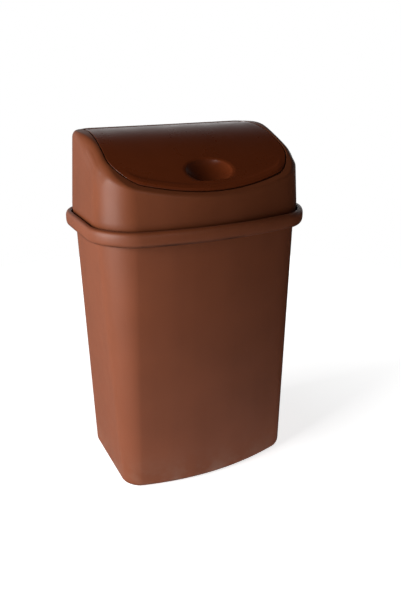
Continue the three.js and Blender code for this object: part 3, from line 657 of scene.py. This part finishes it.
def add_hood():
    """One closed skin: skirt, wall, rounded eave, seam, rebate, flange with its hinge trough, inside."""
    seam = outline({**grown(FLAP_PLAN, SEAM), "yr": PIVOT_Y + TROUGH_R})
    mouth = outline({**grown(FLAP_PLAN, -FLANGE_REACH), "yr": PIVOT_Y - TROUGH_R - FLANGE - 3})
    roof, inner = eave(0), eave(HOOD_WALL)
    to_seam = seam - roof[:, :2]
    reach = np.linalg.norm(to_seam, axis=1)
    out = outward(HOOD_LOW)[:, 1]  # 1 where the wall faces back, -1 where it faces forwards
    side = REAR_FILLET + (SIDE_FILLET - REAR_FILLET) * smooth(-roof[:, 1], -60, 30)
    radius = side + (FRONT_FILLET - side) * smooth(-out, 0.3, 0.95)
    radius = radius + (REAR_FILLET - radius) * smooth(out, 0.3, 0.95)
    tall = radius * (1 + (TALL_FILLET - 1) * smooth(radius, REAR_FILLET, SIDE_FILLET))

    def on_top(points, drop):
        return at_height(points, top_z(points[:, 1]) - drop)

    def flange_at(t, drop, trough):
        """The flange between seam and mouth, dipping under the flap's barrel in a trough of that radius."""
        p = seam + (mouth - seam) * t
        z = top_z(p[:, 1]) - drop
        across = PIVOT_Y - p[:, 1]
        inside = (np.abs(across) < trough) & (np.abs(p[:, 0]) < FLAP_REAR_W + 1.7)
        dip = PIVOT_Z - np.sqrt(np.maximum(trough**2 - across**2, 0))
        return at_height(p, np.where(inside, np.minimum(z, dip), z))

    share = np.maximum(HOOD_WALL / reach, 1 - HOOD_WALL / reach)[:, None]
    behind = roof[:, :2] + to_seam * np.minimum(share, 1)
    steps = np.linspace(0.04, 0.93, 14)
    keys = [
        (hood_ring(SKIRT_DRAFT, LEDGE + 0.3), 0.7, 3),
        (hood_ring(SKIRT_DRAFT + 0.3, RIM_TOP - 2), 3, 3),
        (hood_ring(0, RIM_TOP + 7), 5, 4),
        (roof, (tall, np.minimum(radius, reach - 1.2)), 14),
        (on_top(seam, 0), 0.9, 4),
        (on_top(seam, REBATE), 0.5, 2),
        *[(flange_at(t, REBATE, TROUGH_R), 0, 1) for t in steps],
        (flange_at(1, REBATE, 0), 0.9, 3),
        (flange_at(1, REBATE + FLANGE, 0), 0.9, 3),
        *[(flange_at(t, REBATE + FLANGE, TROUGH_R + FLANGE), 0, 1) for t in steps[::-1]],
        (on_top(behind, REBATE + FLANGE), 0.4, 2),
        (on_top(behind, HOOD_WALL), 0.5, 2),
        (inner, (np.maximum(tall - 2, 1), np.maximum(radius - 2, 1)), 8),
        (hood_ring(HOOD_WALL, RIM_TOP), 3, 2),
        (hood_ring(SKIRT_DRAFT + 2.5, LEDGE + 0.3), 0.7, 3),
    ]
    hood = skin("hood", rounded(keys, closed=True), closed=True)
    return piece(hood, "hood_shell")


# ---- flap ----
def on_flap(p, height):
    """Points (x, run) on the flap's outer face, lifted by height; past the pivot the face rolls over."""
    x, run = p[:, 0], p[:, 1]
    h = np.broadcast_to(height, len(p))
    slope, k = steepness(run), lean(run)
    y, z = run - h * slope / k, top_z(run) + h / k
    turn = np.maximum(run - PIVOT_Y, 0) / ROLL_R
    rolled = run > PIVOT_Y
    y = np.where(rolled, PIVOT_Y + (ROLL_R + h) * np.sin(turn), y)
    z = np.where(rolled, PIVOT_Z + (ROLL_R + h) * np.cos(turn), z)
    return np.column_stack([x, y, z])


def add_flap():
    """One closed skin of even thickness with a bead along the front edge and a pressed finger scoop."""
    rolled = ROLL_R * math.radians(104)
    plan = {**FLAP_PLAN, "w": FLAP_REAR_W - 0.7, "yr": PIVOT_Y + rolled}
    edge = outline(plan)
    front = smooth(-outward(edge)[:, 1], 0.55, 0.95)
    wide, long = SCOOP["w"], SCOOP["l"] * math.cos(math.atan(steepness(SCOOP["y"])))
    inside = outline(grown(plan, -SCOOP["field"]))
    angle = np.arctan2((inside[:, 1] - SCOOP["y"]) / long, inside[:, 0] / wide)

    def ellipse(size):
        return np.column_stack([size * wide * np.cos(angle), SCOOP["y"] + size * long * np.sin(angle)])

    def bowl(size):
        """Height in the scoop where its outline has shrunk to that share, with a soft lip outside it."""
        s = np.minimum(size, 1.0)
        lip = -SCOOP["lip"] * (1 - smooth(size, 1.0, SCOOP["lip_end"]))
        return lip - (SCOOP["depth"] - SCOOP["lip"]) * (1 - s**2.3) ** 0.9

    def bead(from_edge):
        raised = smooth(from_edge, *FLAP_BEAD["rise"]) * (1 - smooth(from_edge, *FLAP_BEAD["fall"]))
        return FLAP_BEAD["high"] * front * raised

    edge_insets = (1.2, 2.2, 3.2, 4.2, 6, 8, 9.5, 11, 12.5, 14.5)
    scoop_shares = (1.12, 1.08, 1.04, 1.01, 0.985, 0.95, 0.9, 0.83, 0.74, 0.63, 0.5, 0.36, 0.2, 0.08)

    def face(depth, bead_on=1.0, thick=0.0):
        """Rows of one side from near the edge to the scoop's bottom; thick widens the scoop's outline."""
        rows = []
        for d in edge_insets:
            ring = outline(grown(plan, -d))
            rows.append(on_flap(ring, depth + bead_on * bead(d)))
        for t in np.linspace(0, 1, 20) ** 0.85:
            rows.append(on_flap(inside + (ellipse(1.16) - inside) * t, depth))
        for size in scoop_shares:
            rows.append(on_flap(ellipse(size * (1 + thick)), depth + bowl(size)))
        return rows

    keys = [
        *[(r, 0, 1) for r in face(-FLAP_THICK, 0.0, 0.045)[::-1]],
        (on_flap(edge, -FLAP_THICK), 0.7, 3),
        (on_flap(edge, 0), 1.0, 4),
        *[(r, 0, 1) for r in face(0.0)],
    ]
    flap = skin("flap_panel", rounded(keys))
    return piece(flap, "flap")


def add_barrel():
    """The flap's hinge barrel inside the rolled edge."""
    end, r, bore = FLAP_REAR_W - 1, BARREL_R - 0.4, PIN_R + 0.4
    profile = [(bore, -end), (r, -end, 0.8), (r, end, 0.8), (bore, end)]
    barrel = lathe("flap_barrel", soft_profile(profile, True), (0, PIVOT_Y, PIVOT_Z), ALONG_X, closed=True)
    return piece(barrel, "flap", replaces=False)


# ---- liner ----
def drill_bail_holes(liner):
    """A hole through the wall on each side for the bail's ends, kept in the mesh itself."""
    drills = []
    for side in (-1, 1):
        bit = [(0, -5), (BAIL_HOLE_R, -5), (BAIL_HOLE_R, 5), (0, 5)]
        drill = lathe("drill", bit, (side * (BAIL_X + 6), 0, BAIL["z"]), toward(side, 0, 0))
        hole = liner.modifiers.new("hole", "BOOLEAN")
        hole.object = drill
        drills.append(drill)
    drilled = bpy.data.meshes.new_from_object(liner.evaluated_get(bpy.context.evaluated_depsgraph_get()))
    liner.modifiers.clear()
    liner.data = drilled
    for drill in drills:
        bpy.data.objects.remove(drill)


def add_liner():
    """One closed skin: base with a foot ring, tapered wall, turned-down lip, inner wall, floor."""
    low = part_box("liner_bucket")[0].z / MM
    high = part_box("liner_bucket")[1].z / MM
    lip_foot, lip_inside = high - LIP_DROP, LIP - LIP_WALL

    def ring(offset, z):
        t = min(max((z - low) / (high - low), 0), 1)
        return at_height(outline(grown(mixed(LINER_BASE, LINER_TOP, t), offset)), z)

    keys = [
        (ring(-FLOOR_INSET, low + 6), 0, 1),
        (ring(-16, low + 6), 2, 2),
        (ring(-12, low), 1.5, 2),
        (ring(-3, low), 5, 4),
        (ring(0, low + 9), 5, 4),
        (ring(0, high - 18), 0, 1),
        (ring(0, high - 4), 1.5, 3),
        (ring(lip_inside, high - 3), 1, 2),
        (ring(lip_inside, lip_foot), 0.5, 2),
        (ring(LIP, lip_foot), 0.5, 2),
        (ring(LIP, high), 3, 5),
        (ring(-LINER_WALL, high), 2.5, 5),
        (ring(-LINER_WALL, high - 18), 0, 1),
        (ring(-LINER_WALL, low + 9), 9, 5),
        (ring(-FLOOR_INSET, low + 8.4), 0, 1),
    ]
    liner = skin("liner", rounded(keys))
    drill_bail_holes(liner)
    return piece(liner, "liner_bucket")


def add_liner_pegs():
    """Two ribs inside the liner that the bail's arms lie on, and an eye round each of its ends."""
    for side in (-1, 1):
        x0, x1 = BAIL_X - 3, LINER_TOP["w"] - 1
        half, middle = (x1 - x0) / 2, side * (x0 + x1) / 2
        plan = dict(w=half, d=PEG["half"], r=1.5, bow=0)

        def ring(by, z):
            return at_height(outline(grown(plan, by)) + (middle, PEG["y"]), z)

        keys = [
            (ring(-1.5, PEG["z0"]), 0, 1),
            (ring(0, PEG["z0"]), 1.2, 3),
            (ring(0, PEG["z1"]), 0.8, 3),
            (ring(-1.5, PEG["z1"]), 0, 1),
        ]
        name = "left" if side < 0 else "right"
        piece(skin("liner_peg_" + name, rounded(keys)), "liner_bucket", replaces=False)
        bore = BAIL_HOLE_R + 0.1
        section = [(bore, 0), (EYE_R, 0, 0.6), (EYE_R - 0.6, 2.0, 0.8), (bore, 2.0, 0.4)]
        eye = lathe("bail_eye_" + name, soft_profile(section, True), (side * (BAIL_X + 6.6), 0, BAIL["z"]),
                    toward(-side, 0, 0), closed=True)
        piece(eye, "liner_bucket", replaces=False)


# ---- bail ----
def tube(name, path, radii, sides=20):
    """A round bar along a path, with a radius for each of its points."""
    path = [Vector(p) for p in path]
    rows, normal = [], None
    for i, p in enumerate(path):
        along = (path[min(i + 1, len(path) - 1)] - path[max(i - 1, 0)]).normalized()
        normal = normal or along.orthogonal()
        normal = (normal - along * normal.dot(along)).normalized()
        cross = along.cross(normal)
        a = 2 * np.pi * np.arange(sides) / sides
        ring = np.outer(np.cos(a), normal) + np.outer(np.sin(a), cross)
        rows.append(np.array(p) + radii[i] * ring)
    return skin(name, rows)


def arc(cx, cy, r, start, stop, steps):
    a = np.radians(np.linspace(start, stop, steps + 1))
    return [(cx + r * math.cos(t), cy + r * math.sin(t)) for t in a]


def add_wire():
    """The wire lies back on the pegs; its ends turn out through the liner's wall and are peened over."""
    x, z, reach, bend, r = BAIL_X, BAIL["z"], BAIL["reach"], BAIL["bend"], BAIL["wire"]
    turn, end = BAIL["turn"], x + BAIL["end"]
    side = [(end, 0), (end - 0.6, 0), (end - 1.5, 0), (end - 1.9, 0), (x + turn, 0)]
    radii = [0.5, r + 1.2, r + 1.6, r, r]
    side += arc(x + turn, turn, turn, 270, 180, 8)[1:]
    side += [(x, y) for y in np.linspace(turn, reach - bend, 5)[1:]]
    side += arc(x - bend, reach - bend, bend, 0, 90, 24)[1:]
    side += [(v, reach) for v in np.linspace(x - bend, 0, 8)[1:]]
    half = [(px, py, z) for px, py in side]
    path = half + [(-px, py, pz) for px, py, pz in half[-2::-1]]
    widths = radii + [r] * (len(side) - len(radii))
    piece(tube("bail_bar", path, widths + widths[-2::-1]), "bail_wire")


def add_grip():
    """A turned sleeve on the wire, with raised bands."""
    bore, r, half = BAIL["wire"] + 0.35, GRIP["r"], GRIP["half"]
    groove = r - 0.4
    outer = [(bore, -half), (groove, -half, 1.2)]
    for k in range(GRIP["ribs"]):
        at = (k - GRIP["ribs"] // 2) * GRIP["pitch"]
        outer += [(groove, at - 4.6, 0.7), (r, at - 3.8, 0.7), (r, at + 3.8, 0.7), (groove, at + 4.6, 0.7)]
    outer += [(groove, half, 1.2), (bore, half)]
    place = (0, BAIL["reach"], BAIL["z"])
    grip = lathe("bail_handle", soft_profile(outer, True), place, toward(1, 0, 0), closed=True)
    piece(grip, "bail_grip")


# ---- ballast, screws and feet ----
def corners(at):
    return [(sx * at["x"], sy * at["y"]) for sx in (-1, 1) for sy in (-1, 1)]


def polar(radius, z, sides=48, flats=0):
    """A ring about +Z; with flats it is a regular polygon of that inner radius."""
    a = 2 * np.pi * np.arange(sides) / sides
    r = np.full(sides, float(radius))
    if flats:
        step = 2 * np.pi / flats
        r = radius / np.cos((a + step / 2) % step - step / 2)
    return np.column_stack([r * np.cos(a), r * np.sin(a), np.full(sides, float(z))])


def add_ballast():
    """A steel plate and its four screws, whose heads have a hexagon socket."""
    plan = dict(w=BALLAST["w"], d=BALLAST["d"], r=BALLAST["corner"], bow=0)

    def ring(by, z):
        return at_height(outline(grown(plan, by)), z)

    z0, z1 = BALLAST["z0"], BALLAST["z1"]
    keys = [(ring(-30, z0), 0, 1), (ring(0, z0), 1.2, 3), (ring(0, z1), 1.2, 3), (ring(-30, z1), 0, 1)]
    piece(skin("ballast", rounded(keys)), "ballast_plate")
    seat = z1 + 0.3
    keys = [
        (polar(0.4, z0 - 4.6), 0, 1),
        (polar(1.0, z0 - 4.4), 0.3, 2),
        (polar(2.3, z0 - 3), 0.4, 2),
        (polar(2.3, seat), 0.2, 1),
        (polar(5, seat), 0.3, 2),
        (polar(4.7, seat + 1.6), 1.0, 4),
        (polar(3.0, seat + 2.6), 0.6, 3),
        (polar(1.9, seat + 2.6, flats=6), 0, 1),
        (polar(1.8, seat + 0.9, flats=6), 0, 1),
        (polar(0.4, seat + 0.7), 0, 1),
    ]
    for i, (x, y) in enumerate(corners(BALLAST)):
        rows = [r + (x, y, 0) for r in rounded(keys)]
        piece(skin(f"screw_{i + 1}", rows), f"ballast_screw_{i + 1}")


def add_pads():
    """Turned rubber feet, with grooves in the sole for grip."""
    r, top, groove = PAD["r"], RECESS_Z - 0.3, 0.9
    sole = [(0, groove), (2.4, groove, 0.4), (3.4, 0, 0.4)]
    for out in (6.2, 11.6):
        sole += [(out, 0, 0.4), (out + 0.6, groove, 0.4), (out + 2.0, groove, 0.4), (out + 2.6, 0, 0.4)]
    profile = soft_profile([*sole, (r - 0.9, 0, 0.6), (r, 1.2, 0.8), (r - 0.9, top, 0.6), (0, top)])
    for i, (x, y) in enumerate(corners(PAD)):
        piece(lathe(f"pad_{i + 1}", profile, (x, y, 0)), f"foot_pad_{i + 1}")


# ---- flap pin, bushes and buffers ----
def add_flap_fittings():
    """The rod that the flap hangs on, a flanged bush near each end of it, and two buffers in the flange."""
    end = BOSS_X + 2.2
    profile = soft_profile([(0, -end), (PIN_R, -end, 0.6), (PIN_R, end, 0.6), (0, end)])
    piece(lathe("pin", profile, (0, PIVOT_Y, PIVOT_Z), ALONG_X), "flap_pin")
    bore, sleeve, flange, back, front = PIN_R + 0.3, 4.3, 5.2, 4.6, 5.7
    bush = soft_profile([(bore, 0, 0.3), (sleeve, 0, 0.5), (sleeve, back, 0.2), (flange, back, 0.3),
                         (flange, front, 0.3), (bore, front, 0.3)], True)
    y = BUFFER["y"]
    up = Vector((0, -float(steepness(y)), 1)).normalized()
    foot = Vector((0, y, float(top_z(y)))) - up * REBATE
    stud = soft_profile([(0, -5.6), (1.6, -5.6, 0.4), (3.4, -3.3, 0.2), (2.1, -3.2, 0.2), (2.1, 0.3, 0.1),
                         (3.9, 0.3, 0.2), (3.9, 1.3, 0.6), (2.6, 1.6, 0.6), (1.6, 1.1, 0.6), (0, 1.1)])
    for name, side in (("left", -1), ("right", 1)):
        at = (side * BOSS_X, PIVOT_Y, PIVOT_Z)
        piece(lathe("bush_" + name, bush, at, toward(-side, 0, 0), closed=True), "flap_bush_" + name)
        at = foot + Vector((side * BUFFER["x"], 0, 0))
        piece(lathe("buffer_" + name, stud, at, toward(*up), 32), "flap_buffer_" + name)


# ---- strap hinges ----
def tub_back(z):
    """Where the tub's back wall is at height z."""
    return TUB_BASE["d"] + (TUB_TOP["d"] - TUB_BASE["d"]) * z / RIM_BOTTOM


def hood_back(z):
    """Where the hood's back wall is at height z."""
    return HOOD_FOOT["d"] - HOOD_TAPER * (z - RIM_TOP) / (HEIGHT - RIM_TOP)


def sheet_strip(name, line, spans, middle=0.0):
    """Bent sheet metal along a (y, z) line. Each line point has the strip's half-width there."""
    line = [np.array(p, float) for p in line]
    t, soft = HINGE["leaf"] / 2, 0.45
    rows = []
    for i, p in enumerate(line):
        along = line[min(i + 1, len(line) - 1)] - line[max(i - 1, 0)]
        along /= np.linalg.norm(along)
        out = np.array([along[1], -along[0]])
        w = spans[i]
        section = [(-w, t - soft), (-w + soft * 0.3, t - soft * 0.3), (-w + soft, t), (0, t), (w - soft, t),
                   (w - soft * 0.3, t - soft * 0.3), (w, t - soft), (w, soft - t),
                   (w - soft * 0.3, soft * 0.3 - t), (w - soft, -t), (0, -t), (soft - w, -t),
                   (soft * 0.3 - w, soft * 0.3 - t), (-w, soft - t)]
        rows.append(np.array([(middle + x, p[0] + out[0] * h, p[1] + out[1] * h) for x, h in section]))
    return skin(name, rows)


def bent(points, radius):
    """A (y, z) line with its inner corners rounded, and straight runs divided."""
    rings = [(np.array([[p[0], 0.0, p[1]]]), radius if 0 < i < len(points) - 1 else 0, 6)
             for i, p in enumerate(points)]
    line = [(r[0, 0], r[0, 2]) for r in rounded(rings)]
    out = [line[0]]
    for a, b in zip(line, line[1:]):
        n = max(1, int(math.dist(a, b) / 2.5))
        out += [(a[0] + (b[0] - a[0]) * k / n, a[1] + (b[1] - a[1]) * k / n) for k in range(1, n + 1)]
    return out


def curl(direction):
    """The rolled knuckle: round the pin from its inner side, over the top (1) or the bottom (-1)."""
    r = HINGE["curl"]
    a = np.radians(np.linspace(0, 306, 28))[1:]
    return [(HINGE["y"] - r * math.cos(t), HINGE["z"] + direction * r * math.sin(t)) for t in a]


def corner_widths(line, half, corner, tab=None, shoulder=None):
    """Half-widths along a leaf: round corners at its free end, and the tab's width past the shoulder."""
    widths, run = [], 0.0
    for i, p in enumerate(line):
        if i:
            run += math.dist(line[i - 1], p)
        w = half - corner + math.sqrt(max(corner**2 - max(corner - run, 0) ** 2, 0.04))
        if tab is not None and run > shoulder:
            w = max(tab, tab + (half - tab) * (1 - (run - shoulder) / 3.0))
        widths.append(w)
    return widths


def add_hinges():
    """Two strap hinges. The tub leaf's knuckle is in the middle of the pin, between the hood leaf's two."""
    off, bend, near = HINGE["gap"] + HINGE["leaf"] / 2, HINGE["bend"], HINGE["y"] - HINGE["curl"]
    z0, z1, z2 = TUB_LEAF_Z
    low = bent([(tub_back(z0) + off, z0), (tub_back(z1) + off, z1), (near, z2), (near, HINGE["z"])], bend)
    low += curl(1)
    z0, z1, z2 = HOOD_LEAF_Z
    high = bent([(hood_back(z0) + off, z0), (hood_back(z1) + off, z1), (near, z2)], bend)
    tabs = bent([(near, TAB_Z), (near, HINGE["z"])], bend) + curl(-1)
    low_widths = corner_widths(low, HINGE["half"], HINGE["corner"], HINGE["tab"], shoulder=34)
    high_widths = corner_widths(high, HINGE["half"], HINGE["corner"])
    inner, outer = HINGE["tab"] + 0.3, HINGE["half"]
    tab_widths = [(outer - inner) / 2] * len(tabs)
    seat, rod_r, head_r = HINGE["half"] + 1.2, HINGE["rod"], HINGE["rod_head"]
    head = [(head_r, seat, 0.2), (head_r, seat + 0.5, 0.5), (2.4, seat + 1.2, 0.5), (0, seat + 1.2)]
    profile = [(r, -h, *rest) for r, h, *rest in head[::-1]] + [(rod_r, -seat), (rod_r, seat)] + head
    for name, side in (("left", -1), ("right", 1)):
        x = side * HINGE["x"]
        piece(sheet_strip("tub_leaf_" + name, low, low_widths, x), "hinge_tub_leaf_" + name)
        piece(sheet_strip("hood_leaf_" + name, high, high_widths, x), "hinge_hood_leaf_" + name)
        for mark, k in (("a", -1), ("b", 1)):
            tab = sheet_strip(f"hood_leaf_{name}_tab_{mark}", tabs, tab_widths, x + k * (inner + outer) / 2)
            piece(tab, "hinge_hood_leaf_" + name, replaces=False)
        rod = lathe("rod_" + name, soft_profile(profile), (x, HINGE["y"], HINGE["z"]), ALONG_X, 32)
        piece(rod, "hinge_pin_" + name)


def add_rivets():
    """Dome rivets through the leaves, with a flat upset head inside the wall."""
    places = [side * HINGE["x"] + k * RIVET["aside"] for side in (-1, 1) for k in (-1, 1)]
    tilt = math.atan(HOOD_TAPER / (HEIGHT - RIM_TOP))
    tub, hood = RIVET["tub_z"], RIVET["hood_z"]
    tub_out, hood_out = (0, 1, 0), (0, math.cos(tilt), math.sin(tilt))
    shank, head = RIVET["shank"], RIVET["head"]
    for kind, wall, y, z, out in (("tub", WALL, tub_back(tub), tub, tub_out),
                                  ("hood", HOOD_WALL, hood_back(hood), hood, hood_out)):
        back, top = -wall - 0.3, HINGE["leaf"] + 0.45
        dome = [(head * math.cos(a), top + 0.35 + RIVET["dome"] * math.sin(a))
                for a in np.radians(np.linspace(0, 90, 9))]
        dome[-1] = (0, dome[-1][1])
        stem = [(0, back - 1.2), (3.4, back - 1.2, 0.4), (3.6, back, 0.2), (shank, back), (shank, top),
                (head, top, 0.15)]
        profile = soft_profile(stem) + dome
        for i, x in enumerate(places):
            stud = lathe(f"{kind}_stud_{i + 1}", profile, (x, y, z), toward(*out), 40)
            piece(stud, f"{kind}_rivet_{i + 1}")


for build in (add_tub, add_hood, add_flap, add_barrel, add_liner, add_liner_pegs, add_wire, add_grip,
              add_ballast, add_pads, add_flap_fittings, add_hinges, add_rivets):
    build()

# The flap pin's clips are shown as the CAD made them.
for node in ("flap_pin_clip_left", "flap_pin_clip_right"):
    mesh = frame["nodes"][node].data
    mesh.materials.clear()
    mesh.materials.append(MATERIALS[SLOT_OF[node]])
